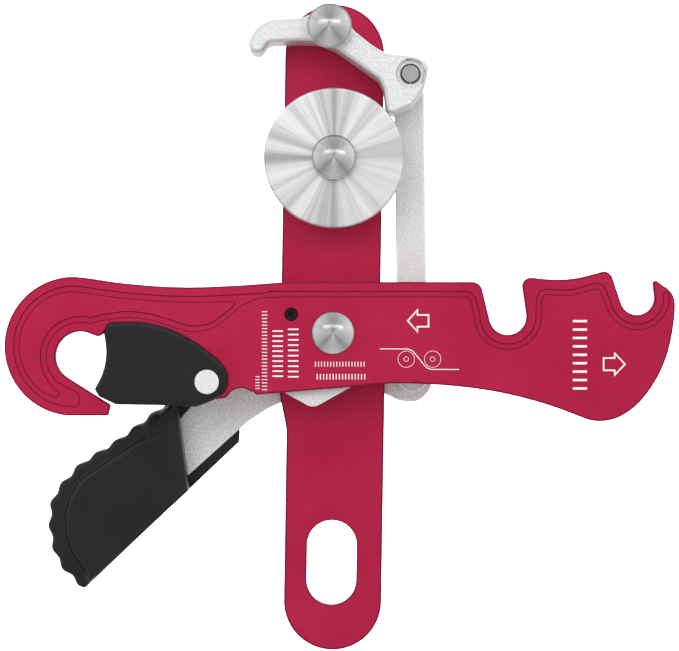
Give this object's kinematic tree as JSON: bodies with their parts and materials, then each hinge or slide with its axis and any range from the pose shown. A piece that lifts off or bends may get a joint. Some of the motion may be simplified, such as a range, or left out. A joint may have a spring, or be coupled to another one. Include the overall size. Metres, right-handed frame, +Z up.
{
  "type": "rope descender",
  "caption": "Self-braking rope descender with a hinged front plate swung open, sprung squeeze handle, linked brake lever, fixed bobbin and gated hook.",
  "frame": {"origin": "centre of the lower arc of the rear plate's carabiner eye, at the plate's mid thickness", "axes": "+Z up the rear plate from the carabiner eye to the top pin, -Y out of the front of the device, +X to the right seen from the front"},
  "size_m": [0.2289, 0.0414, 0.2258],
  "materials": {
    "red_anodised": "crimson anodised, fine satin",
    "turned_alu": "lathe turned, bright",
    "blasted_alu": "bead blasted, matt silver",
    "polished_steel": "polished, domed",
    "zinc_steel": "zinc plated",
    "spring_steel": "oiled spring steel",
    "bronze": "plain bearing bronze",
    "black_nylon": "black moulded nylon",
    "black_rubber": "black rubber plug"
  },
  "bodies": {
    "frame_body": {"rear_plate": "red_anodised", "hub_bush": "bronze", "bobbin_sheave": "turned_alu", "bobbin_dowel": "zinc_steel", "bobbin_screw": "polished_steel", "bobbin_nut": "zinc_steel", "top_pin": "polished_steel", "top_pin_washer": "zinc_steel", "top_pin_nut": "zinc_steel", "handle_spring": "spring_steel"},
    "swing_body": {"swing_plate": "red_anodised", "swing_stop_pin": "black_rubber", "swing_washer": "zinc_steel", "gate_rivet": "polished_steel", "gate_spring": "spring_steel"},
    "gate_body": {"gate": "black_nylon"},
    "handle_body": {"cam": "blasted_alu", "pivot_axle": "polished_steel", "axle_washer": "zinc_steel", "axle_nut": "zinc_steel", "handle_arm": "blasted_alu", "grip_front": "black_nylon", "grip_rear": "black_nylon", "grip_screws": "zinc_steel", "link_lower_pin": "polished_steel", "link_lower_clip": "spring_steel"},
    "link_body": {"link_bar": "blasted_alu"},
    "lever_body": {"brake_lever": "blasted_alu", "lever_bush": "bronze", "link_upper_pin": "polished_steel", "link_upper_clip": "spring_steel"}
  },
  "joints": [
    {"name": "swing_hinge", "type": "hinge", "parent": "frame_body", "child": "swing_body", "pos_m": [-0.0007, -0.02205, 0.0867], "axis": [0, -1, 0], "range_deg": [-54, 84.2]},
    {"name": "gate_hinge", "type": "hinge", "parent": "swing_body", "child": "gate_body", "pos_m": [-0.04343, -0.02205, 0.06933], "axis": [0, 1, 0], "range_deg": [0, 21], "stiffness_Nm_per_rad": 0.03, "springref_deg": -14.32, "deforming": ["gate_spring"]},
    {"name": "handle_hinge", "type": "hinge", "parent": "frame_body", "child": "handle_body", "pos_m": [-0.0007, 0, 0.0867], "axis": [0, -1, 0], "range_deg": [0, 28], "stiffness_Nm_per_rad": 0.3, "springref_deg": -40.11, "deforming": ["handle_spring"]},
    {"name": "link_hinge", "type": "hinge", "parent": "handle_body", "child": "link_body", "pos_m": [0.02735, 0, 0.07124], "axis": [0, -1, 0], "range_deg": [-28, 0]},
    {"name": "lever_hinge", "type": "hinge", "parent": "frame_body", "child": "lever_body", "pos_m": [-0.00359, -0.01115, 0.19156], "axis": [0, -1, 0], "range_deg": [0, 28]}
  ],
  "couplings": [
    {"joint": "link_hinge", "follows": "handle_hinge", "ratio": -1},
    {"joint": "lever_hinge", "follows": "handle_hinge", "ratio": 1}
  ]
}
